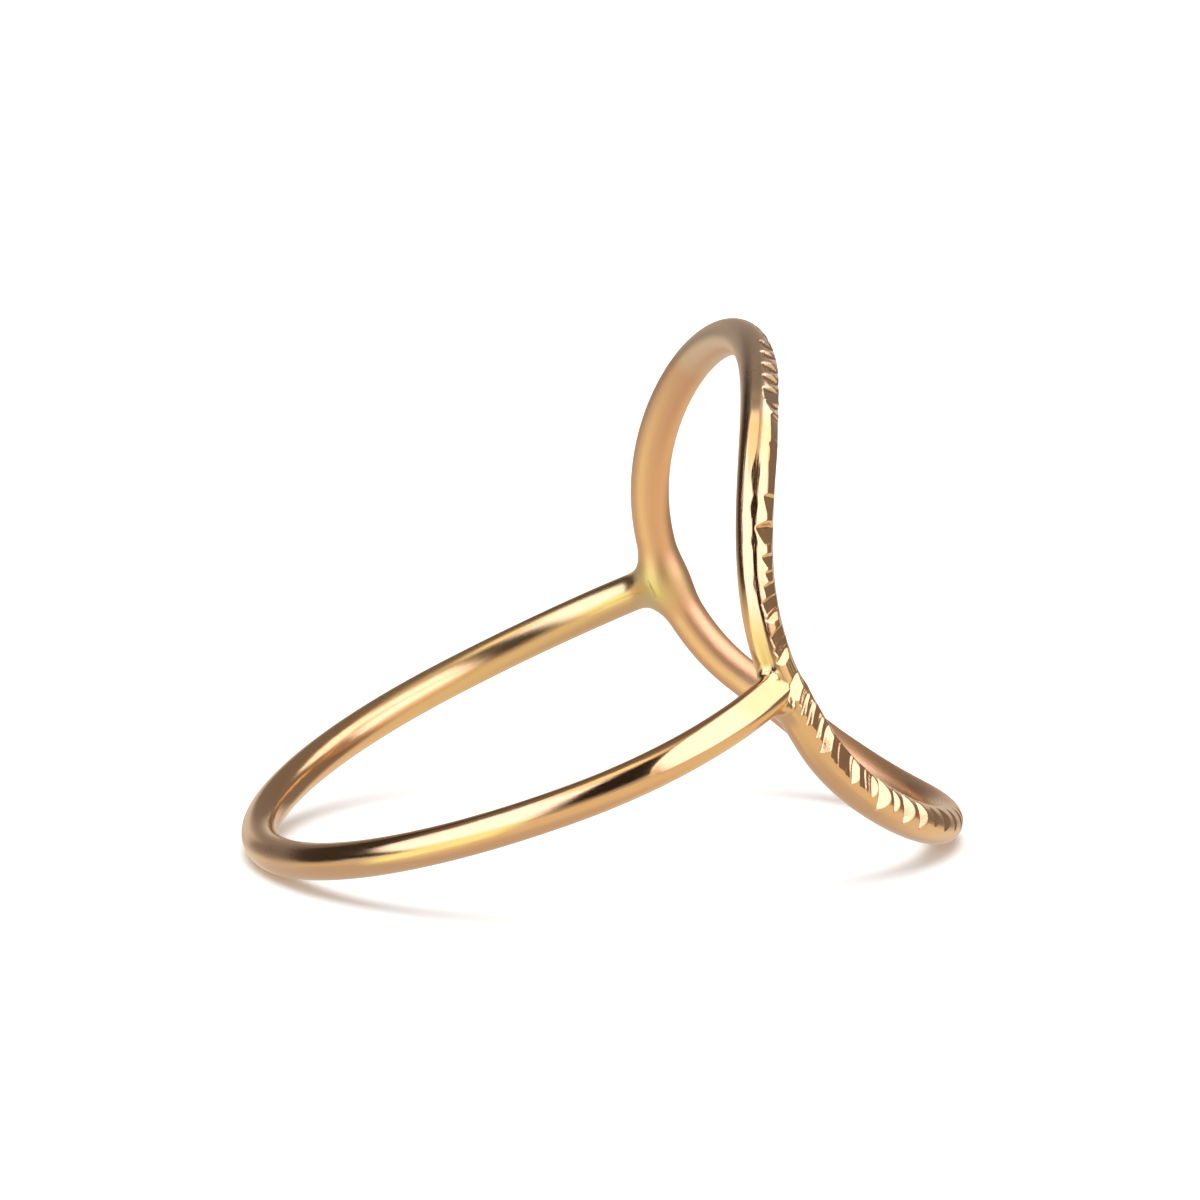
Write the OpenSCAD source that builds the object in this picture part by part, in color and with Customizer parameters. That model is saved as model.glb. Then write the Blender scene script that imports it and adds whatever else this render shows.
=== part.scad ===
// Halo ring: a plain round wire band soldered to an open wire circle that bends over the finger.
// The band and the circle are one soldered solid. It is drawn first in its own frame: the centre of the
// band's round is the origin, X runs to the front, Z along the finger. Then it is laid on its side, on the
// back of the band and the lower tip of the circle, which is how it rests by itself.

/* [Band] */
// Inside diameter of the band's round, which is the finger size
inner_d = 17.3; // [15:0.1:20]
// Diameter of the band's round wire
band_wire_d = 0.94; // [0.8:0.02:0.96]
// Angle from the front at which each end leaves the round and turns in towards the circle
end_angle = 106; // [95:1:115]

/* [Open circle] */
// Width of the circle across the finger, between wire centres
circle_w = 14; // [12:0.1:15]
// Height of the circle along the finger, between wire centres
circle_h = 13.2; // [11:0.1:15]
// Radius to which the circle is bent over the finger
bend_r = 8.9; // [8:0.1:12]
// Distance from the band's centre to the front of the circle, at the wire's centre
front_x = 6.8; // [6.5:0.1:7.5]
// How much the circle bulges at its four diagonals, as a share of its radius
fullness = 0.017; // [0:0.001:0.03]
// Width of the circle's wire after hammering
circle_wire_d = 0.98; // [0.96:0.02:1.1]
// Depth that the hammer takes off the circle's outer face
flat_depth = 0.1; // [0.02:0.01:0.2]

/* [Solder joints] */
// Height of the circle's near side above the plane of the band
near_rise = 0.2; // [0:0.05:0.6]
// Height of the circle's far side above the plane of the band
far_rise = 0.62; // [0:0.02:0.8]
// Where the band's far end meets the circle, in degrees down from its top
far_joint = 90; // [85:1:95]
// Where the band's near end meets it, measured the same way round
near_joint = 270; // [265:1:275]
// Length of the solder fillet along the band
fillet_l = 0.85; // [0.6:0.05:1]
// Reach of the solder fillet along the circle, each way
fillet_reach = 0.55; // [0.3:0.05:0.7]

/* [Rest] */
// Angle by which the band's plane leans when the ring lies on its side
rest_tilt = 20.96; // [15:0.01:25]
// Roll with which it settles, because one joint sits higher than the other
rest_roll = -0.96; // [-3:0.01:3]

/* [Hidden] */
gold = [0.83, 0.63, 0.43];
$fn = 96;
band_r = (inner_d + band_wire_d) / 2;
band_wire_r = band_wire_d / 2;
circle_wire_r = circle_wire_d / 2;
// Sections round the circle, steps round each section, and sides of the solder fillets
path_steps = 112;
face_steps = 18;
fillet_fn = 20;
// Share of the wire's radius that the fillet's two ends take, so that they sink into the wires
fillet_sink = 0.9;
fillet_disc_h = 0.05;
bend_x = front_x - bend_r;
mid_rise = (near_rise + far_rise) / 2;
skew = (far_rise - near_rise) / 2;

// Centre of the circle's wire: a slightly squared circle rolled onto an upright cylinder.
// t is 0 at the top, 90 at the far joint, 180 at the lower tip and 270 at the near joint.
function circle_point(t) =
    let (
        swell = 1 - fullness * cos(4 * t),
        y = circle_w / 2 * sin(t) * swell,
        z = circle_h / 2 * cos(t) * swell
    )
    [bend_x + sqrt(bend_r * bend_r - y * y), y, z + mid_rise + skew * sin(t)];

function unit(v) = v / norm(v);
function degrees(radians) = radians * 180 / PI;
function circle_dir(t) = unit(circle_point(t + 0.5) - circle_point(t - 0.5));
function outward(t) = let (p = circle_point(t)) unit([p[0] - bend_x, p[1], 0]);

// Section of the circle's wire: the round runs from one edge of the hammered flat to the other,
// and the facet that joins its last point to its first is the flat
flat_angle = acos((circle_wire_r - flat_depth) / circle_wire_r);
section_angles = [for (i = [0 : face_steps]) flat_angle + (360 - 2 * flat_angle) * i / face_steps];

function section_ring(t) =
    let (p = circle_point(t), n = outward(t), s = cross(circle_dir(t), n))
    [for (a = section_angles) p + circle_wire_r * (cos(a) * n + sin(a) * s)];

circle_skin = [for (k = [0 : path_steps - 1]) each section_ring(360 * k / path_steps)];

module open_circle() {
    sides = len(section_angles);
    faces = [
        for (k = [0 : path_steps - 1], i = [0 : sides - 1])
            let (
                here = k * sides,
                next = (k + 1) % path_steps * sides,
                j = (i + 1) % sides
            )
            each [[here + i, next + i, next + j], [here + i, next + j, here + j]]
    ];
    polyhedron(circle_skin, faces);
}

// The joint on one side: side is 1 for the far side and -1 for the near side
function joint_angle(side) = side > 0 ? far_joint : near_joint;
function joint_point(side) = circle_point(joint_angle(side));

// One end of the band is an arc that leaves the round along its tangent and meets the joint.
// reach goes from where the arc starts to the joint, aside is its part square to the tangent.
function end_start(side) = band_r * [cos(end_angle), side * sin(end_angle), 0];
function end_dir(side) = [sin(end_angle), -side * cos(end_angle), 0];
function end_reach(side) = joint_point(side) - end_start(side);
function end_aside(side) = end_reach(side) - end_reach(side) * end_dir(side) * end_dir(side);
function end_r(side) = norm(end_reach(side)) ^ 2 / (2 * norm(end_aside(side)));
function end_sweep(side) = atan2(end_reach(side) * end_dir(side), end_r(side) - norm(end_aside(side)));

// Puts its children where the arc's centre is the origin and the arc starts on the X axis
module at_end_centre(side) {
    a = -unit(end_aside(side));
    b = end_dir(side);
    c = cross(a, b);
    o = end_start(side) - end_r(side) * a;
    multmatrix([[a[0], b[0], c[0], o[0]], [a[1], b[1], c[1], o[1]], [a[2], b[2], c[2], o[2]], [0, 0, 0, 1]])
        children();
}

module band_end(side) {
    at_end_centre(side)
        rotate_extrude(angle = end_sweep(side))
            translate([end_r(side), 0])
                circle(r = band_wire_r);
}

module band_round() {
    rotate([0, 0, end_angle])
        rotate_extrude(angle = 360 - 2 * end_angle)
            translate([band_r, 0])
                circle(r = band_wire_r);
}

// Solder that fills the corners between the band's end and the circle, above and below
module solder_fillet(side) {
    back = degrees(fillet_l / end_r(side));
    swing = degrees(fillet_reach / (circle_h / 2));
    hull() {
        at_end_centre(side)
            rotate([0, 0, end_sweep(side) - back])
                translate([end_r(side), 0, 0])
                    rotate([90, 0, 0])
                        cylinder(r = band_wire_r * fillet_sink, h = fillet_disc_h, center = true, $fn = fillet_fn);
        for (way = [-1, 1])
            translate(circle_point(joint_angle(side) + way * swing))
                sphere(r = circle_wire_r * fillet_sink, $fn = fillet_fn);
    }
}

module ring_metal() {
    union() {
        band_round();
        for (side = [-1, 1]) {
            band_end(side);
            solder_fillet(side);
        }
        open_circle();
    }
}

// A point after the ring is laid on its side, before it is moved over the origin
function lean(p) =
    let (
        x = p[0] * cos(rest_tilt) - p[2] * sin(rest_tilt),
        z = p[0] * sin(rest_tilt) + p[2] * cos(rest_tilt)
    )
    [x, p[1] * cos(rest_roll) - z * sin(rest_roll), p[1] * sin(rest_roll) + z * cos(rest_roll)];
circle_leant = [for (p = circle_skin) lean(p)];
band_leant = [for (a = [end_angle : 360 - end_angle]) lean(band_r * [cos(a), sin(a), 0])];
function lowest(i) = min(min([for (p = circle_leant) p[i]]), min([for (p = band_leant) p[i]]) - band_wire_r);
function highest(i) = max(max([for (p = circle_leant) p[i]]), max([for (p = band_leant) p[i]]) + band_wire_r);

// Lays the ring on the back of the band and the lower tip of the circle, with the floor at height 0
module laid_on_side() {
    translate([-(lowest(0) + highest(0)) / 2, -(lowest(1) + highest(1)) / 2, -lowest(2)])
        rotate([rest_roll, 0, 0])
            rotate([0, -rest_tilt, 0])
                children();
}

module ring() {
    color(gold)
        laid_on_side()
            ring_metal();
}

ring();
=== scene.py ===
import math

import bpy
import numpy as np
from mathutils import Matrix, Vector


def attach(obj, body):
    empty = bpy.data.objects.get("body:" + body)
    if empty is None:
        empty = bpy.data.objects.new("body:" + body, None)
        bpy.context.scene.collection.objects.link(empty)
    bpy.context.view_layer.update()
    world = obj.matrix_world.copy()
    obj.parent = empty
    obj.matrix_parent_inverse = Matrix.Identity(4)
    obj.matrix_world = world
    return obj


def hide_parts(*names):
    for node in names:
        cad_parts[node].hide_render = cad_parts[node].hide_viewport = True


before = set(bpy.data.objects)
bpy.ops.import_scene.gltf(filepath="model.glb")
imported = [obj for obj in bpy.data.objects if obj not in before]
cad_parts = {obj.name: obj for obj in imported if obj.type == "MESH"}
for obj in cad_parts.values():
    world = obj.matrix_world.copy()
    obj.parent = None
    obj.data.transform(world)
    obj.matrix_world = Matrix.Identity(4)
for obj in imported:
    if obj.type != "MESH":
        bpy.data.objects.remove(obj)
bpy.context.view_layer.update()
print("frame loaded with", ", ".join(sorted(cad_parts)))

# Both wires are worked out in millimetres with the finger upright:
# x to the front of the ring, y across the finger to the far side, z along the finger.
metresPerMm = 0.001
random = np.random.default_rng(29)

restValues = {
    "tipForward": 20.96,  # degrees, the ring's front comes up off the floor
    "rock": -0.96,  # degrees, a slight roll to one side
    "shift": (-0.00395, 0.01507, 3.73544),  # mm, puts the middle of the ring's box over the origin
}


def unit(vectors):
    return vectors / np.linalg.norm(vectors, axis=-1, keepdims=True)


def faded(value, start, end):
    # 0 at the start, 1 at the end, smooth between
    part = np.clip((value - start) / (end - start), 0, 1)
    return part * part * (3 - 2 * part)


def hump(value, place, spread):
    # 1 at the place, smoothly down to almost nothing at twice the spread
    return np.exp(-((value - place) / spread) ** 2)


def layDown(points):
    # turn about y, turn about x, then shift: the pose in which the ring lies by itself
    tip, rock = math.radians(restValues["tipForward"]), math.radians(restValues["rock"])
    aboutY = np.array([
        [math.cos(tip), 0, -math.sin(tip)],
        [0, 1, 0],
        [math.sin(tip), 0, math.cos(tip)],
    ])
    aboutX = np.array([
        [1, 0, 0],
        [0, math.cos(rock), -math.sin(rock)],
        [0, math.sin(rock), math.cos(rock)],
    ])
    return (points @ (aboutX @ aboutY).T + restValues["shift"]) * metresPerMm


def arcLengths(path):
    # distance from the path's start to each of its points
    steps = np.linalg.norm(np.diff(path, axis=0), axis=1)
    return np.concatenate([[0], np.cumsum(steps)])


def pointsAlong(path, arcs):
    # points on the path at the given distances from its start
    known = arcLengths(path)
    return np.stack([np.interp(arcs, known, path[:, k]) for k in range(3)], axis=1)


def handWaves(place, length, wavelength):
    # random heights between -1 and 1 a wavelength apart, joined by smooth steps, closed after the
    # length
    knots = max(3, round(length / wavelength))
    heights = random.uniform(-1, 1, knots)
    along = place / length * knots
    left = np.floor(along).astype(int)
    part = faded(along - left, 0, 1)
    return heights[left % knots] * (1 - part) + heights[(left + 1) % knots] * part


def pressed(radius, angle, faceAngle, faceHeight):
    # the smaller of the radius and a plane's distance, which is height / cos(angle from the
    # plane's own direction), on the part of the wire that faces the plane
    leastFacing = 0.25
    facing = np.cos(angle - faceAngle)
    planeRadius = faceHeight / np.maximum(facing, leastFacing)
    return np.where(facing > leastFacing, np.minimum(radius, planeRadius), radius)


def raysAround(angle, outward, aside):
    # directions from the wire's centre: a row for each step along it, a column for each angle
    forward, sideways = np.cos(angle)[None, :, None], np.sin(angle)[None, :, None]
    return forward * outward[:, None] + sideways * aside[:, None]


def wireMesh(name, surface, closedAlong, arcs, radius, angle, marks):
    # a grid of steps along by steps around, joined into quads, with end fans where the wire isn't
    # closed. Each point also keeps its place in the straightened wire, in mm, and its share of
    # each finish
    along, around = surface.shape[:2]
    points = surface.reshape(-1, 3)
    row = np.arange(along if closedAlong else along - 1)[:, None]
    column = np.arange(around)[None, :]
    nextRow, nextColumn = (row + 1) % along, (column + 1) % around
    quads = np.stack([
        row * around + column,
        row * around + nextColumn,
        nextRow * around + nextColumn,
        nextRow * around + column,
    ], axis=-1).reshape(-1, 4)
    faces = quads.tolist()
    if not closedAlong:
        first = np.arange(around)
        last = first + len(points) - around
        middle = np.full(around, len(points))
        points = np.concatenate([points, surface[0].mean(0)[None], surface[-1].mean(0)[None]])
        faces += np.stack([np.roll(first, -1), first, middle], axis=1).tolist()
        faces += np.stack([last, np.roll(last, -1), middle + 1], axis=1).tolist()
    mesh = bpy.data.meshes.new(name)
    mesh.from_pydata(layDown(points), [], faces)
    mesh.polygons.foreach_set("use_smooth", np.ones(len(mesh.polygons), dtype=bool))
    spare = len(points) - along * around
    wireSpace = np.stack([
        np.broadcast_to(arcs[:, None], radius.shape),
        radius * np.cos(angle),
        radius * np.sin(angle),
    ], axis=-1)
    values = np.concatenate([wireSpace.reshape(-1, 3), np.zeros((spare, 3))]).astype(np.float32)
    attribute = mesh.attributes.new("wireSpace", "FLOAT_VECTOR", "POINT")
    attribute.data.foreach_set("vector", values.ravel())
    for mark, amount in marks.items():
        amounts = np.broadcast_to(amount, radius.shape).ravel()
        values = np.concatenate([amounts, np.zeros(spare)]).astype(np.float32)
        mesh.attributes.new(mark, "FLOAT", "POINT").data.foreach_set("value", values)
    mesh.update()
    piece = bpy.data.objects.new(name, mesh)
    bpy.context.scene.collection.objects.link(piece)
    return piece


# Solder in the corners between the two wires.
solderValues = {
    # for the near joint and the far one: mm that it spreads from each corner, how much further it
    # spreads under the joint, and how much of its colour shows
    "spread": (0.26, 0.75),
    "below": (1.7, 0.0),
    "tint": (0.35, 0.9),
    "belowRange": (-0.1, 0.35),  # mm under the joint, over which the wider spread sets in
    "tintRange": (0.0, 0.6),  # mm from the other wire, over which the colour fades out
    "reach": 2.4, "otherReach": 3.2,  # mm from the joint, on the soldered wire and on the other one
    "mostLift": 0.34, "halvings": 9,  # share of the spread, and rounds in which the lift is found
    # mm and share of the spread, how deep in the other wire the lift ends
    "sunk": 0.05, "sunkShare": 0.3,
    "frontRange": (0.45, 0.8),  # cosines from the front, over which it gives way to the filed face
    "hiddenEnd": 0.3,  # mm of the band's end that the circle hides
    "circleSteps": 1800,  # of the circle's centre line, for the gap to it
}


def solderLift(surface, rays, side, otherPath, otherRadius):
    # solder fills the corner between two wires: a point moves out along its ray by the lift at
    # which the smooth minimum of its own lift and its gap to the other wire is nothing. The filed
    # front keeps its shape, and so does what lies deep inside the other wire
    joint = jointPoint(side)
    spread, below, tint = (solderValues[name][side > 0] for name in ("spread", "below", "tint"))
    near = np.linalg.norm(surface.mean(axis=1) - joint, axis=1) < solderValues["reach"]
    points, ways = surface[near].reshape(-1, 3), rays[near].reshape(-1, 3)
    other = otherPath[np.linalg.norm(otherPath - joint, axis=1) < solderValues["otherReach"]]
    spread = spread * (1 + below * faded(joint[2] - points[:, 2], *solderValues["belowRange"]))

    def gap(lift):
        lifted = points + lift[:, None] * ways
        squared = (lifted ** 2).sum(1)[:, None] - 2 * lifted @ other.T + (other ** 2).sum(1)
        return np.sqrt(np.maximum(squared.min(1), 0)) - otherRadius

    low, high = np.zeros(len(points)), spread * solderValues["mostLift"]
    for halving in range(solderValues["halvings"]):
        middle = (low + high) / 2
        apart = gap(middle)
        overlap = np.maximum(spread - np.abs(middle - apart), 0) / spread
        inside = np.minimum(middle, apart) - overlap ** 2 * spread / 4 < 0
        low, high = np.where(inside, middle, low), np.where(inside, high, middle)
    start = gap(np.zeros(len(points)))
    deepest = -solderValues["sunk"] - solderValues["sunkShare"] * spread
    lift = np.where(start < spread, low, 0) * faded(start, deepest, 0)
    lift = lift * (1 - faded(ways @ outwardFrom(joint), *solderValues["frontRange"]))
    lifted, colour = surface.copy(), np.zeros(surface.shape[:2])
    lifted[near] += lift.reshape(-1, surface.shape[1])[..., None] * rays[near]
    shown = tint * (1 - faded(start, *solderValues["tintRange"]))
    colour[near] = shown.reshape(-1, surface.shape[1])
    return lifted, colour


def soldered(surface, rays, otherPath, otherRadius):
    # the wire's surface with the solder of both joints, and how much of its colour shows at each
    # point
    colour = np.zeros(surface.shape[:2])
    for side in (-1, 1):
        surface, added = solderLift(surface, rays, side, otherPath, otherRadius)
        colour = np.maximum(colour, added)
    return surface, colour


# The open circle: a round wire bent to the finger, hammered flat on its front and cut across with
# a chisel.
haloValues = {
    "width": 14.0, "height": 13.2,  # mm, of its centre line before it is bent round the finger
    # mm, radius of the bend, and how far its crest lies in front of the finger's centre
    "bendRadius": 8.9, "front": 6.8,
    "fullness": 0.017,  # how far the circle is drawn out towards a square
    "midRise": 0.41, "skew": 0.21,  # mm, the circle sits a little high, and higher on its far side
    "wire": 0.98,  # mm
    "nearJoint": 270.0, "farJoint": 90.6,  # degrees round the circle
    "stepsAlong": 1536, "stepsAround": 64,
    # degrees from outward, between which the front is worked, and the share of the steps around
    # that lie there
    "workedAngles": (-95, 58), "workedShare": 0.68,
    "pathSteps": 7200, "cutSteps": 20000,  # steps in which lengths and cuts are worked out
    # small bends by hand: place and spread in degrees, and mm forward
    "bends": ((125, 10, 0.15), (158, 15, -0.10), (261, 9, 0.08)),
    # unevenness left by the hammer: mm between waves, mm deep, the length and share of the finer
    # waves laid over them, times as deep on the bevel, and mm of filing where they reach their
    # full depth
    "waveLength": 0.9, "waveDepth": 0.006, "fineWaveLength": 0.4, "fineWaves": 0.5,
    "bevelWaves": 1.5, "fullWavesAt": 0.01,
    "wall": 1.9,  # slope of a cut's steep side
    "edgeRound": 0.035,  # mm, over which every edge of a cut is rounded along the wire
    "bow": 0.10,  # how far a cut's start curves back at both of its ends
    "brightDepth": 0.012,  # mm below the uncut face, where a cut's metal is fully bright
    # more filing: place and spread in degrees, direction as for side and bevel below, and depth
    # in mm. First the nicks on the ridge between side and bevel, then two long soft facets inside
    # the upper near strand
    "filing": (
        (311.5, 2.8, 60, 0.018), (305.5, 1.6, 60, 0.012),
        (299, 1.2, 60, 0.013), (291, 1.5, 60, 0.010),
        (293, 19, -32, 0.080), (333, 14, -32, 0.045),
    ),
    # cuts on the far side: how many, their depth in mm, then in shares of the step between two
    # cuts where the first one starts, the play of every start and the length, the shallow end's
    # share of the depth, and the degrees that a cut may turn either way
    "farCuts": 47, "farCutDepth": (0.10, 0.15),
    "farCutStart": 0.7, "farCutPlay": 0.15, "farCutLength": (0.4, 0.75),
    "farCutShallow": (0.1, 0.4), "farCutTurn": 6,
    # a yellow stain inside the circle: place and spread in degrees, and strength
    "stainPlace": 30.5, "stainSpread": 1.8, "stain": 1.0,
}

# Places round the circle are degrees from the top, over the far joint at 90 and the lower tip at
# 180 to the near joint at 270. Side and bevel are two narrow planes beside the front, each with
# its direction in the section, degrees from the front towards the outside, and its depth in mm.
# Thin is what the hammer took off, face is the depth of the hammered front, slant is how far a
# cut runs on along the wire for its length across, and satin and dull are how much of each finish
# the metal has: satin where no wheel reached, dull where its colour is paler and greyer.
planeColumns = (
    "place", "sideTurn", "side", "bevelTurn", "bevel", "thin", "face", "slant", "satin", "dull"
)
planeRows = (
    (0, 80, 0.008, 40, 0.014, 0.030, 0.03, 0.22, 1.00, 0.90),
    (27, 80, 0.008, 40, 0.014, 0.018, 0.03, 0.22, 1.00, 0.80),
    (36, 80, 0.008, 40, 0.014, 0.014, 0.03, 0.22, 1.00, 0.10),
    (90, 76, 0.010, 40, 0.014, 0.000, 0.03, 0.22, 1.00, 0.00),
    (120, 76, 0.010, 40, 0.014, 0.022, 0.03, 0.22, 1.00, 0.00),
    (150, 76, 0.010, 40, 0.014, 0.030, 0.03, 0.22, 0.90, 0.00),
    (190, 76, 0.000, 43, 0.008, 0.010, 0.00, 0.22, 0.55, 0.30),
    (235, 76, 0.000, 43, 0.000, 0.000, 0.00, 0.25, 0.10, 0.05),
    (262, 70, 0.004, 43, 0.000, -0.025, 0.00, 0.47, 0.00, 0.00),
    (276, 66, 0.030, 43, 0.000, 0.000, 0.02, 0.45, 0.00, 0.00),
    (288, 71, 0.020, 36, 0.006, 0.000, 0.02, 0.30, 0.00, 0.00),
    (297, 75, 0.012, 37, 0.012, 0.000, 0.02, 0.22, 0.00, 0.00),
    (305, 76, 0.011, 37, 0.010, 0.000, 0.02, 0.22, 0.00, 0.00),
    (312, 77, 0.005, 37, 0.007, 0.000, 0.02, 0.22, 0.00, 0.00),
    (318, 77, 0.012, 37, 0.012, 0.000, 0.02, 0.22, 0.00, 0.00),
    (322, 76, 0.012, 37, 0.012, 0.000, 0.02, 0.22, 0.00, 0.00),
    (326, 76, 0.012, 37, 0.012, 0.000, 0.02, 0.22, 0.05, 0.65),
    (340, 77, 0.008, 40, 0.020, 0.004, 0.02, 0.22, 0.70, 0.75),
)

# The cuts on the near side, from the top down: each drops to its full depth at its start, by a
# steep wall, and comes out towards the tip at its end. The columns are the places of its start
# and its end, the mm below the round at its deep start and its shallow end, and the degrees that
# it is turned from the front.
nearCuts = (
    (349.0, 345.5, 0.11, 0.06, -26),
    (344.0, 341.0, 0.10, 0.04, -30),
    (339.5, 336.6, 0.12, 0.05, -24),
    (335.6, 332.8, 0.13, 0.03, -20),
    (332.0, 329.0, 0.10, 0.07, -22),
    (328.6, 326.4, 0.12, 0.04, -8),
    (325.4, 320.0, 0.07, 0.03, 2),
    (318.9, 317.0, 0.05, 0.012, -2),
    (315.0, 309.5, 0.03, 0.015, 0),
    (308.3, 305.0, 0.10, 0.03, 3),
    (302.6, 299.0, 0.21, 0.05, 0),
    (296.7, 294.7, 0.125, 0.035, 4),
    (293.6, 292.0, 0.07, 0.03, 2),
    (291.2, 289.0, 0.13, 0.10, 6),
    (288.5, 286.0, 0.17, 0.12, 4),
    (285.3, 283.8, 0.17, 0.03, 7),
    (281.6, 279.4, 0.13, 0.10, 5),
    (278.9, 277.2, 0.15, 0.10, 8),
    (276.8, 275.3, 0.13, 0.03, 0),
    (270.4, 267.3, 0.15, 0.03, -8),
    (266.7, 265.2, 0.10, 0.07, 5),
    (264.9, 264.0, 0.12, 0.04, -5),
    (263.7, 262.7, 0.10, 0.09, 5),
    (262.4, 261.3, 0.13, 0.04, -5),
    (260.9, 258.9, 0.10, 0.08, 6),
    (258.5, 257.6, 0.11, 0.04, -4),
    (257.2, 256.0, 0.09, 0.08, 5),
    (255.5, 253.3, 0.18, 0.01, -5),
    (252.7, 251.5, 0.10, 0.10, 4),
    (251.2, 249.9, 0.12, 0.12, 6),
    (249.5, 247.4, 0.11, 0.09, 4),
    (247.2, 245.6, 0.12, 0.11, 5),
    (245.0, 243.3, 0.14, 0.01, -4),
    (242.8, 240.9, 0.09, 0.08, 5),
    (240.4, 239.3, 0.08, 0.05, 2),
    (238.9, 237.6, 0.11, 0.02, -3),
    (236.2, 233.2, 0.24, 0.00, -4),
    (231.7, 230.2, 0.12, 0.00, -3),
    (228.0, 224.9, 0.24, 0.00, -3),
    (222.7, 220.0, 0.21, 0.00, -2),
    (217.4, 215.2, 0.08, 0.00, 0),
    (212.6, 209.0, 0.12, 0.00, 0),
    (206.2, 204.4, 0.12, 0.00, 0),
    (200.0, 198.2, 0.12, 0.00, -3),
)


def haloPath(turn):
    # an oval in y and z, swollen at its four shoulders, pushed forward onto a cylinder round the
    # finger
    swell = 1 - haloValues["fullness"] * np.cos(4 * turn)
    y = haloValues["width"] / 2 * np.sin(turn) * swell
    z = haloValues["height"] / 2 * np.cos(turn) * swell
    middle = haloValues["front"] - haloValues["bendRadius"]
    x = middle + np.sqrt(haloValues["bendRadius"] ** 2 - y ** 2)
    for place, spread, forward in haloValues["bends"]:
        x = x + forward * hump(np.degrees(turn) % 360, place, spread)
    rise = haloValues["midRise"] + haloValues["skew"] * np.sin(turn)
    return np.stack([x, y, z + rise], axis=-1)


def outwardFrom(points):
    # straight away from the axis of the cylinder that the circle is bent to
    middle = haloValues["front"] - haloValues["bendRadius"]
    return unit((points - [middle, 0, 0]) * [1, 1, 0])


def haloFrame(turn):
    # outward, and aside, which is across outward and the wire, to the circle's inside
    step = 1e-4
    ahead = unit(haloPath(turn + step) - haloPath(turn - step))
    outward = outwardFrom(haloPath(turn))
    return outward, np.cross(ahead, outward)


def haloArcs():
    # turns all round the circle, and the distance in mm along its centre line to each
    turns = np.linspace(0, 2 * math.pi, haloValues["pathSteps"] + 1)
    return turns, arcLengths(haloPath(turns))


def planeAt(place, column):
    # a column of the planes' table at any place, even between its rows
    places = [row[0] for row in planeRows]
    values = [row[planeColumns.index(column)] for row in planeRows]
    return np.interp(place, places, values, period=360)


def allCuts():
    # the near cuts as listed, and the far side's at even steps with some play
    count, play = haloValues["farCuts"], haloValues["farCutPlay"]
    start, end = nearCuts[-1][1], nearCuts[0][0]
    step = (start + 360 - end) / (count + 1)
    places = np.arange(count) + haloValues["farCutStart"] + random.uniform(-play, play, count)
    starts = start - step * places
    lengths = step * random.uniform(*haloValues["farCutLength"], count)
    deep = random.uniform(*haloValues["farCutDepth"], count)
    shallow = deep * random.uniform(*haloValues["farCutShallow"], count)
    turn = random.uniform(-haloValues["farCutTurn"], haloValues["farCutTurn"], count)
    far = np.stack([starts, starts - lengths, deep, shallow, turn], axis=1)
    return np.concatenate([np.array(nearCuts), far])


def frontPlane(arcs, cuts):
    # depth and direction of the front plane at every slanted arc: the deepest of the hammered
    # face and the cuts, each a steep wall before its start, a straight run from deep to shallow,
    # and a step out at its end. Then every edge is rounded by an average along the wire
    turns, known = haloArcs()
    length, steps = known[-1], haloValues["cutSteps"]
    even = np.arange(steps) * length / steps
    depth = planeAt(np.degrees(np.interp(even, known, turns)), "face")
    direction = np.zeros(steps)
    for start, end, deep, shallow, turn in cuts:
        first, last = np.interp(np.radians([start % 360, end % 360]), turns, known)
        # past is mm past the start, towards the end
        past = (first - even + length / 2) % length - length / 2
        run = (first - last) % length
        wall = deep + past * haloValues["wall"]
        profile = np.where(past < 0, wall, deep + (shallow - deep) * past / run)
        profile = np.where(past > run, shallow - (past - run), profile)
        direction = np.where(profile > depth, math.radians(turn), direction)
        depth = np.maximum(depth, profile)
    window = round(haloValues["edgeRound"] / length * steps)
    weights = np.ones(window) / window
    rounded = []
    for values in (depth, direction):
        wrapped = np.pad(values, window, mode="wrap")
        values = np.convolve(wrapped, weights, "same")[window:-window]
        rounded.append(np.interp(arcs, even, values, period=length))
    return rounded


def haloSection(arcs, place, angle, length):
    # the wire's round, pressed by the side plane and the bevel, then by the front plane with its
    # cuts
    wire = haloValues["wire"] / 2
    radius = np.broadcast_to(wire - planeAt(place, "thin")[:, None], (len(arcs), len(angle)))
    angle = angle[None, :]
    for plane, deeper in (("side", 1), ("bevel", haloValues["bevelWaves"])):
        waves = handWaves(arcs, length, haloValues["waveLength"]) \
            + haloValues["fineWaves"] * handWaves(arcs, length, haloValues["fineWaveLength"])
        depth = planeAt(place, plane)
        full = np.minimum(depth / haloValues["fullWavesAt"], 1)
        depth = depth + deeper * haloValues["waveDepth"] * waves * full
        direction = -np.radians(planeAt(place, plane + "Turn"))[:, None]
        radius = pressed(radius, angle, direction, wire - np.maximum(depth, 0)[:, None])
    for filedPlace, spread, turn, deep in haloValues["filing"]:
        depth = deep * hump(place, filedPlace, spread)[:, None]
        radius = pressed(radius, angle, -math.radians(turn), wire - depth)
    uncut = radius
    slant = planeAt(place, "slant")[:, None]
    across = np.sin(angle)
    slanted = arcs[:, None] + wire * (haloValues["bow"] * across ** 2 - slant * across)
    depth, direction = frontPlane(slanted, allCuts())
    radius = pressed(radius, angle, direction, wire - depth)
    return radius, np.clip((uncut - radius) / haloValues["brightDepth"], 0, 1)


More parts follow.
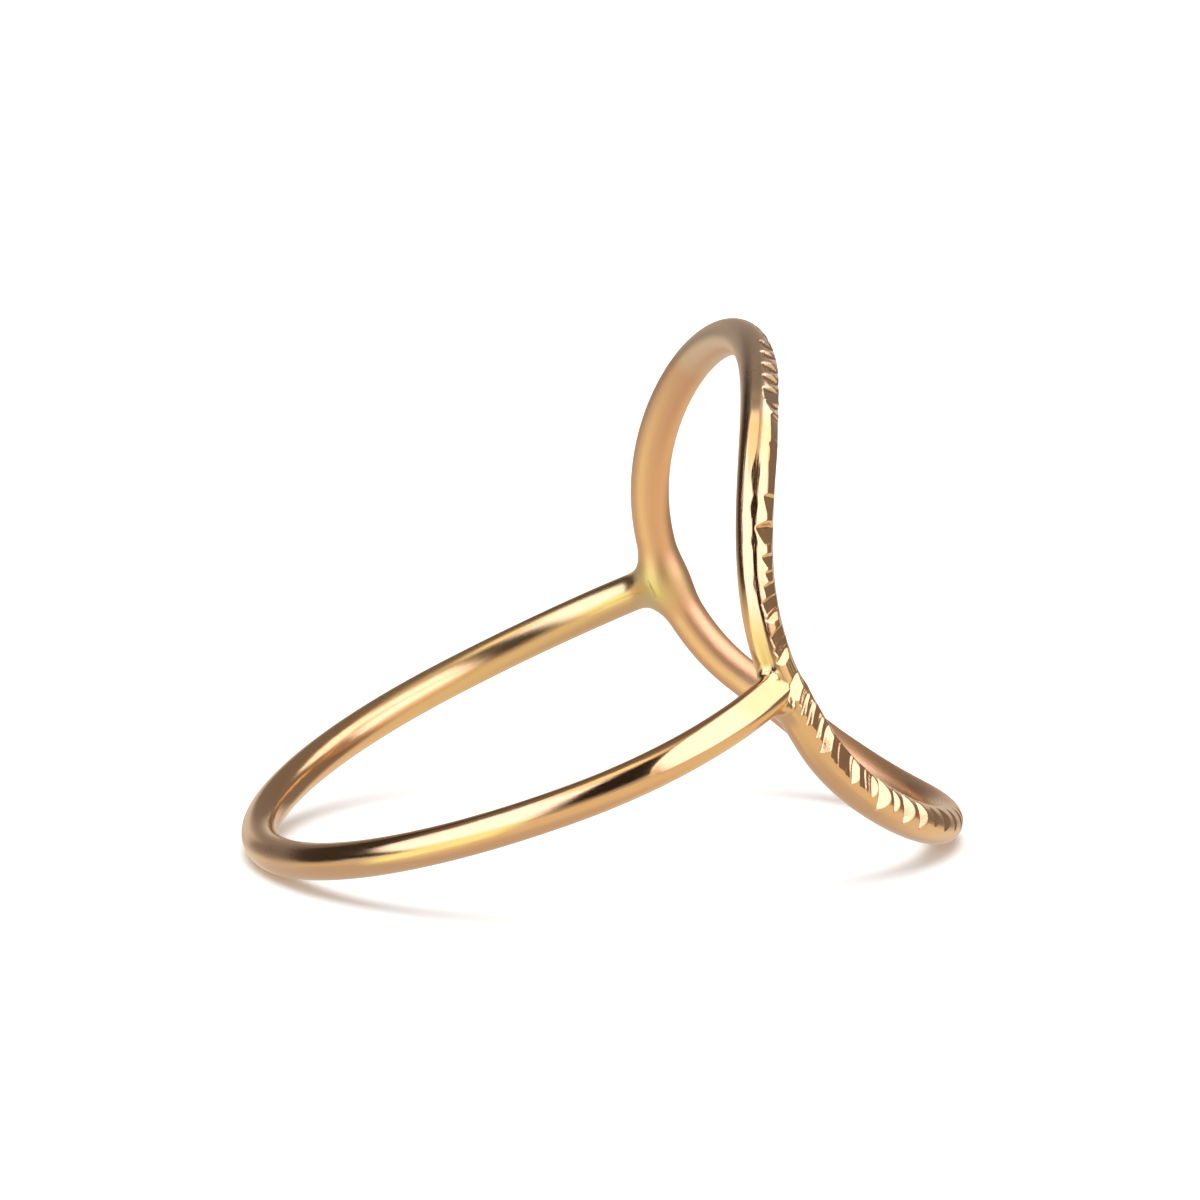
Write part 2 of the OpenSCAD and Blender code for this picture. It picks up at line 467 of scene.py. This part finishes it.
def makeHalo():
    along, around = haloValues["stepsAlong"], haloValues["stepsAround"]
    turns, known = haloArcs()
    length = known[-1]
    arcs = np.arange(along) * length / along
    turn = np.interp(arcs, known, turns)
    place = np.degrees(turn)
    worked = round(around * haloValues["workedShare"])
    low, high = (math.radians(limit) for limit in haloValues["workedAngles"])
    angle = np.concatenate([
        np.linspace(low, high, worked, endpoint=False),
        np.linspace(high, low + 2 * math.pi, around - worked, endpoint=False),
    ])
    radius, cut = haloSection(arcs, place, angle, length)
    rays = raysAround(angle, *haloFrame(turn))
    surface = haloPath(turn)[:, None] + radius[..., None] * rays
    band = bandPath()
    apart = np.min([np.linalg.norm(band - jointPoint(side), axis=1) for side in (-1, 1)], axis=0)
    outside = band[apart > solderValues["hiddenEnd"]]
    surface, solder = soldered(surface, rays, outside, bandValues["wire"] / 2)
    stain = hump(place, haloValues["stainPlace"], haloValues["stainSpread"])[:, None]
    inside = np.maximum(-np.cos(angle), 0)
    return wireMesh("haloWire", surface, True, arcs, radius, angle, {
        "brightCut": cut,
        "solder": np.maximum(solder, haloValues["stain"] * stain * inside),
        "satin": planeAt(place, "satin")[:, None],
        "dull": planeAt(place, "dull")[:, None],
    })


# The finger band: a round wire, open at the front, whose ends turn in to the circle and are
# soldered to it.
bandValues = {
    "insideDiameter": 17.3, "wire": 0.94,  # mm
    "roundEnds": 106,  # degrees from the front, where the round gives way to the turned-in ends
    "backSteps": 2401, "endSteps": 450,  # points on the centre line of the round and of each end
    "stepsAlong": 1040, "stepsAround": 88,
    "gathered": 0.08,  # draws the steps together near the joints
    "buried": 0.02,  # mm, how far from the circle's centre the wire ends, inside it
    # mm before the joint where the filed flat starts, mm over which it deepens, its depth in mm,
    # and degrees from outward down to its straight lower edge
    "flatStart": 4.9, "flatLeadIn": 1.5, "flatDepth": 0.118, "flatEdge": -9,
    "flatWaveLength": 0.9, "flatWaveDepth": 0.002,  # mm, unevenness left by the file
    # mm, unevenness of the polished round, and twice the radians that its hollows are turned by
    "waveLength": 2.3, "waveDepth": 0.003, "waveTurn": 0.7,
    # the circle's cuts run on in the near end: mm from the joint that is searched, degrees of the
    # circle beside it, mm that the cut is deeper than in the circle, mm of depth over which it
    # sets in, and mm from the circle's centre over which it fades out
    "cutReach": 1.3, "cutDegrees": 9, "cutDeeper": 0.008,
    "cutDepths": (0.035, 0.055), "cutFade": (0.36, 0.56),
    # where the band's own wire is joined, in shares of its length, and how much of two finishes
    # it has there
    "seamPlace": 0.435, "seamSpread": 0.03, "seamSatin": 0.8, "seamDull": 0.3,
    # the far end is less polished: how much satin and solder's colour, and the shares of the
    # length over which they set in
    "farSatin": 0.3, "farSatinRange": (0.55, 0.85),
    "farSolder": 0.32, "farSolderRange": (0.68, 0.84),
}


def jointPoint(side):
    # side 1 is the far joint, -1 the near one
    return haloPath(np.radians([haloValues["farJoint" if side > 0 else "nearJoint"]]))[0]


def bandEnd(side):
    # an arc that leaves the round along its tangent and meets the joint
    radius = (bandValues["insideDiameter"] + bandValues["wire"]) / 2
    end = math.radians(bandValues["roundEnds"])
    start = radius * np.array([math.cos(end), side * math.sin(end), 0])
    heading = np.array([math.sin(end), -side * math.cos(end), 0])
    reach = jointPoint(side) - start
    aside = reach - (reach @ heading) * heading
    offset = np.linalg.norm(aside)
    arcRadius = reach @ reach / (2 * offset)
    whole = math.atan2(reach @ heading, arcRadius - offset)
    sweep = np.linspace(0, whole, bandValues["endSteps"])[:, None]
    return start + arcRadius * (np.sin(sweep) * heading + (1 - np.cos(sweep)) * aside / offset)


def bandPath():
    # the near end from its joint, the round at the back, then the far end to its joint
    radius = (bandValues["insideDiameter"] + bandValues["wire"]) / 2
    end = math.radians(bandValues["roundEnds"])
    turn = np.linspace(-end, end - 2 * math.pi, bandValues["backSteps"])[:, None]
    back = radius * np.concatenate([np.cos(turn), np.sin(turn), 0 * turn], axis=1)
    return np.concatenate([bandEnd(-1)[::-1][:-1], back, bandEnd(1)[1:]])


def bandSection(angle, toJoint, arcs, length):
    # round, with slight unevenness, filed flat over the last stretch before each joint. The
    # flat's depth nears its full value as 1 - exp(-run / lead-in), and its direction keeps its
    # lower edge straight
    wire = bandValues["wire"] / 2
    wave = handWaves(arcs, length, bandValues["waveLength"])
    hollow = 0.5 + 0.5 * wave[:, None] * np.cos(angle[None, :] * 2 + bandValues["waveTurn"])
    radius = wire - bandValues["waveDepth"] * hollow
    run = np.maximum(bandValues["flatStart"] - toJoint, 0)
    depth = bandValues["flatDepth"] * (1 - np.exp(-run / bandValues["flatLeadIn"]))
    uneven = handWaves(arcs, length, bandValues["flatWaveLength"])
    depth = np.maximum(depth + bandValues["flatWaveDepth"] * np.minimum(run, 1) * uneven, 0)
    turn = np.arccos(1 - depth / wire) + math.radians(bandValues["flatEdge"])
    flat = pressed(radius, angle[None, :], turn[:, None], (wire - depth)[:, None])
    return np.where((run > 0)[:, None], flat, radius)


def cutWithCircle(surface):
    # the cuts beside the near joint run through the band's end too: where the circle's front
    # plane is a cut, a point is moved back to it along the circle's outward direction, fading out
    # to the outside
    joint = jointPoint(-1)
    near = np.linalg.norm(surface.mean(axis=1) - joint, axis=1) < bandValues["cutReach"]
    points = surface[near].reshape(-1, 3)
    turns, known = haloArcs()
    fromJoint = np.abs(np.degrees(turns) - haloValues["nearJoint"])
    close = np.flatnonzero(fromJoint < bandValues["cutDegrees"])
    path = haloPath(turns[close])
    at = close[((points[:, None] - path) ** 2).sum(2).argmin(1)]
    outward, aside = haloFrame(turns[at])
    offset = points - haloPath(turns[at])
    out, across = (offset * outward).sum(1), (offset * aside).sum(1)
    wire = haloValues["wire"] / 2
    slant = planeAt(np.degrees(turns[at]), "slant")
    slanted = known[at] + haloValues["bow"] * across ** 2 / wire - slant * across
    depth, direction = frontPlane(slanted, nearCuts)
    height = wire - depth - bandValues["cutDeeper"]
    over = out * np.cos(direction) + across * np.sin(direction) - height
    share = faded(depth, *bandValues["cutDepths"]) * (1 - faded(-across, *bandValues["cutFade"]))
    back = (np.maximum(over, 0) * share)[:, None] * outward
    cut = surface.copy()
    cut[near] -= back.reshape(-1, surface.shape[1], 3)
    return cut


def makeBand():
    around = bandValues["stepsAround"]
    path = bandPath()
    length = arcLengths(path)[-1]
    # even steps, drawn closer together near the two joints
    even = np.linspace(0, 1, bandValues["stepsAlong"])
    share = even - bandValues["gathered"] * np.sin(2 * math.pi * even)
    arcs = bandValues["buried"] + (length - 2 * bandValues["buried"]) * share
    centre = pointsAlong(path, arcs)
    ahead = unit(np.gradient(centre, arcs, axis=0))
    up = unit(np.array([0, 0, 1.0]) - ahead * ahead[:, 2:])
    outward = np.cross(up, ahead)
    toJoint = np.minimum(arcs, length - arcs)
    angle = np.arange(around) * 2 * math.pi / around
    radius = bandSection(angle, toJoint, arcs, length)
    rays = raysAround(angle, outward, up)
    surface = centre[:, None] + radius[..., None] * rays
    circle = haloPath(np.linspace(0, 2 * math.pi, solderValues["circleSteps"] + 1))
    surface, solder = soldered(surface, rays, circle, haloValues["wire"] / 2)
    surface = cutWithCircle(surface)
    # the far end is less polished than the near one, and so is the wire's own seam
    done = (arcs / length)[:, None]
    seam = hump(done, bandValues["seamPlace"], bandValues["seamSpread"])
    farSatin = bandValues["farSatin"] * faded(done, *bandValues["farSatinRange"])
    farSolder = bandValues["farSolder"] * faded(done, *bandValues["farSolderRange"])
    return wireMesh("bandWire", surface, False, arcs, radius, angle, {
        "brightCut": 0,
        "satin": np.maximum(farSatin, bandValues["seamSatin"] * seam),
        "solder": np.maximum(solder, farSolder),
        "dull": bandValues["seamDull"] * seam,
    })


# Gold, polished by hand: fine lines along the wire, soft cloudy wear, a green tinge where it was
# soldered.
goldValues = {
    "gold": (0.81, 0.53, 0.27),
    "rose": (0.79, 0.46, 0.25),
    "solder": (0.73, 0.57, 0.25),
    "dull": (0.83, 0.63, 0.45),
    "polishedRoughness": 0.08, "wornRoughness": 0.17,
    "wornRange": (0.35, 0.75),  # strength of the lines, over which polish gives way to wear
    "satinRoughness": 0.42, "cutRoughness": 0.07, "solderRoughness": 0.36,
    # polishing lines: how many times finer along the wire and across it, noise per mm, levels of
    # detail and their strength, height of the bump in metres and its strength, and depth on each
    # of the wires
    "lineStretch": (0.55, 9.0, 9.0), "lineScale": 2.6, "lineDetail": 4.0, "lineRoughness": 0.62,
    "lineHeight": 0.00002, "lineStrength": 0.3, "haloLines": 0.8, "bandLines": 0.5,
    "cloudScale": 0.8, "cloudDetail": 3.0,  # noise per mm, and levels of detail
}


nodeSpacing = (190, -170)  # between columns and between rows in the node editor


def addNode(tree, kind, place, inputs=None, **settings):
    # a node at a column and row. Each of its inputs takes another node's output or a plain value
    node = tree.nodes.new(kind)
    node.location = (place[0] * nodeSpacing[0], place[1] * nodeSpacing[1])
    for key, value in settings.items():
        setattr(node, key, value)
    for key, value in (inputs or {}).items():
        if isinstance(value, bpy.types.NodeSocket):
            tree.links.new(value, node.inputs[key])
        else:
            node.inputs[key].default_value = value
    return node


def mathNode(tree, place, operation, *values):
    inputs = dict(enumerate(values))
    return addNode(tree, "ShaderNodeMath", place, inputs, operation=operation).outputs[0]


def mixNode(tree, place, kind, factor, first, second):
    inputs = {"Factor": factor, "A": first, "B": second}
    return addNode(tree, "ShaderNodeMix", place, inputs, data_type=kind).outputs["Result"]


def newGroup(name, sockets):
    # sockets are rows of a direction, a type and the names that have both
    group = bpy.data.node_groups.new(name, "ShaderNodeTree")
    for direction, kind, names in sockets:
        for socket in names:
            group.interface.new_socket(socket, in_out=direction, socket_type="NodeSocket" + kind)
    return group


def wireLines():
    # node group: polishing lines that run along the wire, and cloudy wear, from the wire's own
    # coordinates
    group = newGroup("polishing lines", (
        ("INPUT", "Vector", ("Wire Place",)),
        ("INPUT", "Float", ("Line Depth",)),
        ("OUTPUT", "Float", ("Lines", "Clouds")),
        ("OUTPUT", "Vector", ("Normal",)),
    ))
    given = addNode(group, "NodeGroupInput", (0, 0)).outputs
    stretched = addNode(group, "ShaderNodeVectorMath", (1, 0), {
        0: given["Wire Place"],
        1: goldValues["lineStretch"],
    }, operation="MULTIPLY")
    lines = addNode(group, "ShaderNodeTexNoise", (2, 0), {
        "Vector": stretched.outputs[0],
        "Scale": goldValues["lineScale"],
        "Detail": goldValues["lineDetail"],
        "Roughness": goldValues["lineRoughness"],
    }, noise_dimensions="3D").outputs["Fac"]
    clouds = addNode(group, "ShaderNodeTexNoise", (2, 1), {
        "Vector": given["Wire Place"],
        "Scale": goldValues["cloudScale"],
        "Detail": goldValues["cloudDetail"],
    }, noise_dimensions="3D").outputs["Fac"]
    bump = addNode(group, "ShaderNodeBump", (4, 1), {
        "Height": mathNode(group, (3, 1), "MULTIPLY", lines, given["Line Depth"]),
        "Distance": goldValues["lineHeight"],
        "Strength": goldValues["lineStrength"],
    })
    addNode(group, "NodeGroupOutput", (5, 0), {
        "Lines": lines, "Clouds": clouds, "Normal": bump.outputs["Normal"],
    })
    return group


def goldMaterial(name, lineGroup, lineDepth):
    material = bpy.data.materials.new(name)
    material.use_nodes = True
    tree = material.node_tree
    tree.nodes.clear()
    marks = {
        mark: addNode(tree, "ShaderNodeAttribute", (0, row), attribute_name=mark).outputs
        for row, mark in enumerate(("wireSpace", "brightCut", "satin", "solder", "dull"))
    }
    lines = addNode(tree, "ShaderNodeGroup", (1, 0), {
        "Wire Place": marks["wireSpace"]["Vector"],
        "Line Depth": lineDepth,
    }, node_tree=lineGroup).outputs
    # colour drifts between yellow and rose gold with the clouds, rose where satin, pale green at
    # solder, and paler and greyer where the dull mark is
    gold, rose = (*goldValues["gold"], 1), (*goldValues["rose"], 1)
    colour = mixNode(tree, (2, 0), "RGBA", lines["Clouds"], gold, rose)
    layers = (("satin", "rose"), ("solder", "solder"), ("dull", "dull"))
    for column, (mark, tint) in enumerate(layers, 3):
        tinted = (*goldValues[tint], 1)
        colour = mixNode(tree, (column, 0), "RGBA", marks[mark]["Fac"], colour, tinted)
    # roughness: polish, dulled by wear and lines, satin where no wheel reached, mirror in the
    # cuts
    wornFrom, wornTo = goldValues["wornRange"]
    roughness = addNode(tree, "ShaderNodeMapRange", (2, 1), {
        "Value": lines["Lines"],
        "From Min": wornFrom,
        "From Max": wornTo,
        "To Min": goldValues["polishedRoughness"],
        "To Max": goldValues["wornRoughness"],
    }).outputs[0]
    layers = (("satin", "satin"), ("solder", "solder"), ("brightCut", "cut"))
    for column, (mark, finish) in enumerate(layers, 3):
        value = goldValues[finish + "Roughness"]
        roughness = mixNode(tree, (column, 1), "FLOAT", marks[mark]["Fac"], roughness, value)
    shader = addNode(tree, "ShaderNodeBsdfPrincipled", (6, 0), {
        "Base Color": colour,
        "Metallic": 1.0,
        "Roughness": roughness,
        "Normal": lines["Normal"],
    })
    addNode(tree, "ShaderNodeOutputMaterial", (8, 0), {"Surface": shader.outputs[0]})
    return material


halo = makeHalo()
print("open circle:", len(halo.data.polygons), "faces")
band = makeBand()
print("finger band:", len(band.data.polygons), "faces")
lineGroup = wireLines()
halo.data.materials.append(goldMaterial("hammered gold", lineGroup, goldValues["haloLines"]))
band.data.materials.append(goldMaterial("polished gold", lineGroup, goldValues["bandLines"]))
for piece in (halo, band):
    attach(piece, "root")
    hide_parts("ring")
print("gold laid on")


# The studio: soft panels of light and dark round the ring, by direction from it, over a pale
# floor. A later panel lies over the ones before it. Azimuth is degrees from the viewer's side,
# positive to the right, and a half width of 200 goes all the way round. Elevation is degrees
# above the floor. A panel fades from edge degrees inside its border to as many outside it, and
# lean is degrees of azimuth for each degree up.
panelColumns = (
    "Centre Azimuth", "Centre Elevation", "Half Width", "Half Height", "Edge", "Lean", "Panel"
)
panelRows = (
    (0, 84, 200, 14, 8, 0, (0.75, 0.70, 0.58)),  # overhead
    (180, 36, 64, 36, 10, 0, (0.24, 0.21, 0.19)),  # dim behind the ring
    (0, -62, 200, 52, 8, 0, (0.93, 0.86, 0.67)),  # floor, as the gold sees it
    (0, -90, 200, 32, 18, 0, (0.70, 0.64, 0.59)),  # the ring's own shade on the floor
    (-150, -50, 62, 32, 12, 0, (0.66, 0.62, 0.60)),  # more shade on it, behind the ring on the left
    (155, 2, 40, 9, 5, 0, (0.75, 0.68, 0.58)),  # low wall behind the ring
    (45, 4, 33, 12, 6, 0, (1.05, 0.94, 0.80)),  # low wall on the right
    (-80, 28, 37, 33, 8, -0.15, (2.0, 2.1, 2.7)),  # left window
    (-68, -17, 26, 18, 9, 0.1, (1.35, 1.60, 1.00)),  # light spilt on the floor from the left window
    (-100, 69, 34, 11, 5, 0, (1.5, 1.4, 1.1)),  # top of the left window, nearly overhead
    (-130, 17, 26, 22, 6, -1.1, (0.05, 0.045, 0.04)),  # dark corner, back left
    (48, 44, 36, 30, 7, 0, (2.25, 2.2, 2.6)),  # right window
    (110, 11, 31, 27, 6, 0, (0.26, 0.23, 0.21)),  # dark corner, back right
    (98, 53, 28, 17, 6, 0, (1.9, 1.95, 2.0)),  # window above that corner
    (-21, 40, 24, 36, 6, -0.35, (0.03, 0.025, 0.025)),  # the dark behind the viewer
)
worldValues = {
    "upper": (0.38, 0.36, 0.33),  # where no panel is
    "seenDirectly": (0.93, 0.93, 0.93),
    "onFloor": (0.90, 0.90, 0.90),
}


def softPanel():
    # node group: lays one soft-edged panel over the colour given, by azimuth and elevation
    group = newGroup("soft panel", (
        ("INPUT", "Float", ("Azimuth", "Elevation", *panelColumns[:-1])),
        ("INPUT", "Color", ("Behind", "Panel")),
        ("OUTPUT", "Color", ("Colour",)),
    ))
    given = addNode(group, "NodeGroupInput", (0, 0)).outputs
    above = mathNode(group, (1, 1), "SUBTRACT", given["Elevation"], given["Centre Elevation"])
    leaned = mathNode(group, (2, 1), "MULTIPLY", above, given["Lean"])
    middle = mathNode(group, (3, 0), "ADD", leaned, given["Centre Azimuth"])
    aside = mathNode(group, (4, 0), "SUBTRACT", given["Azimuth"], middle)
    aside = mathNode(group, (5, 0), "WRAP", aside, 180, -180)
    masks = []
    for row, (distance, half) in enumerate(((aside, "Half Width"), (above, "Half Height"))):
        ramp = addNode(group, "ShaderNodeMapRange", (8, row), {
            "Value": mathNode(group, (6, row), "ABSOLUTE", distance),
            "From Min": mathNode(group, (7, row), "SUBTRACT", given[half], given["Edge"]),
            "From Max": mathNode(group, (7, row + 2), "ADD", given[half], given["Edge"]),
            "To Min": 1,
            "To Max": 0,
        }, interpolation_type="SMOOTHSTEP")
        masks.append(ramp.outputs[0])
    mask = mathNode(group, (9, 0), "MULTIPLY", *masks)
    laid = mixNode(group, (10, 0), "RGBA", mask, given["Behind"], given["Panel"])
    addNode(group, "NodeGroupOutput", (11, 0), {"Colour": laid})
    return group


def makeWorld():
    world = bpy.data.worlds.new("soft studio")
    world.use_nodes = True
    tree = world.node_tree
    tree.nodes.clear()
    direction = addNode(tree, "ShaderNodeTexCoord", (0, 0)).outputs["Generated"]
    parts = addNode(tree, "ShaderNodeSeparateXYZ", (1, 0), {0: direction}).outputs
    towards = mathNode(tree, (2, 0), "MULTIPLY", parts["Y"], -1)
    azimuth = mathNode(tree, (3, 0), "ARCTAN2", parts["X"], towards)
    azimuth = mathNode(tree, (4, 0), "DEGREES", azimuth)
    elevation = mathNode(tree, (3, 1), "ARCSINE", parts["Z"])
    elevation = mathNode(tree, (4, 1), "DEGREES", elevation)
    group = softPanel()
    colour = (*worldValues["upper"], 1)
    for column, row in enumerate(panelRows, 5):
        inputs = dict(zip(panelColumns, row))
        inputs["Panel"] = (*inputs["Panel"], 1)
        inputs.update({"Azimuth": azimuth, "Elevation": elevation, "Behind": colour})
        panel = addNode(tree, "ShaderNodeGroup", (column, 0), inputs, node_tree=group)
        colour = panel.outputs["Colour"]
    # the gold sees the panels; the camera and the floor see plain soft white
    light = addNode(tree, "ShaderNodeBackground", (20, 0), {"Color": colour}).outputs[0]
    seenBy = addNode(tree, "ShaderNodeLightPath", (20, -2)).outputs
    backdrops = (("Is Diffuse Ray", "onFloor"), ("Is Camera Ray", "seenDirectly"))
    for column, (ray, plain) in enumerate(backdrops, 21):
        white = {"Color": (*worldValues[plain], 1)}
        backdrop = addNode(tree, "ShaderNodeBackground", (column, 1), white).outputs[0]
        choice = {0: seenBy[ray], 1: light, 2: backdrop}
        light = addNode(tree, "ShaderNodeMixShader", (column, 0), choice).outputs[0]
    addNode(tree, "ShaderNodeOutputWorld", (23, 0), {"Surface": light})
    world.cycles.sampling_method = "NONE"
    bpy.context.scene.world = world


floorValues = {
    "halfSize": 1.5,  # m
    "colour": (0.90, 0.90, 0.895), "roughness": 0.9, "shine": 0.1,
}
topLightValues = {"height": 0.8, "size": 0.9, "power": 6.0}  # m, m and W


def makeFloor():
    half = floorValues["halfSize"]
    corners = [(-half, -half, 0), (half, -half, 0), (half, half, 0), (-half, half, 0)]
    mesh = bpy.data.meshes.new("floor")
    mesh.from_pydata(corners, [], [(0, 1, 2, 3)])
    floor = bpy.data.objects.new("floor", mesh)
    bpy.context.scene.collection.objects.link(floor)
    material = bpy.data.materials.new("pale floor")
    material.use_nodes = True
    shader = material.node_tree.nodes["Principled BSDF"]
    shader.inputs["Base Color"].default_value = (*floorValues["colour"], 1)
    shader.inputs["Roughness"].default_value = floorValues["roughness"]
    shader.inputs["Specular IOR Level"].default_value = floorValues["shine"]
    mesh.materials.append(material)
    floor.visible_glossy = False  # the gold sees the studio's own floor panel instead


def makeTopLight():
    light = bpy.data.lights.new("top light", "AREA")
    light.shape = "DISK"
    light.size = topLightValues["size"]
    light.energy = topLightValues["power"]
    lamp = bpy.data.objects.new("top light", light)
    lamp.location = (0, 0, topLightValues["height"])
    lamp.visible_glossy = False
    lamp.visible_camera = False
    bpy.context.scene.collection.objects.link(lamp)


cameraValues = {
    "azimuth": -10.85, "elevation": 10.9, "roll": 0.945,  # degrees
    # mm from the band's centre, and mm that the picture's middle lies above it
    "distance": 558.7, "aimAbove": 2.51,
    "lens": 673.0, "sensor": 36,  # mm
    "clipStart": 0.05, "clipEnd": 10,  # m
}


def makeCamera():
    names = ("azimuth", "elevation", "roll")
    azimuth, elevation, roll = (math.radians(cameraValues[name]) for name in names)
    towards = Vector((
        math.sin(azimuth) * math.cos(elevation),
        -math.cos(azimuth) * math.cos(elevation),
        math.sin(elevation),
    ))
    level = Vector((math.cos(azimuth), math.sin(azimuth), 0))
    upright = towards.cross(level)
    right = level * math.cos(roll) - upright * math.sin(roll)
    up = towards.cross(right)
    place = Vector(layDown(np.zeros(3)))
    place += up * cameraValues["aimAbove"] * metresPerMm
    place += towards * cameraValues["distance"] * metresPerMm
    data = bpy.data.cameras.new("camera")
    data.lens = cameraValues["lens"]
    data.sensor_width = cameraValues["sensor"]
    data.clip_start, data.clip_end = cameraValues["clipStart"], cameraValues["clipEnd"]
    camera = bpy.data.objects.new("camera", data)
    turn = Matrix((right, up, towards)).transposed()
    camera.matrix_world = Matrix.Translation(place) @ turn.to_4x4()
    bpy.context.scene.collection.objects.link(camera)
    bpy.context.scene.camera = camera


makeWorld()
makeFloor()
makeTopLight()
makeCamera()
bpy.context.scene.view_settings.view_transform = "Standard"
print("studio and camera set")
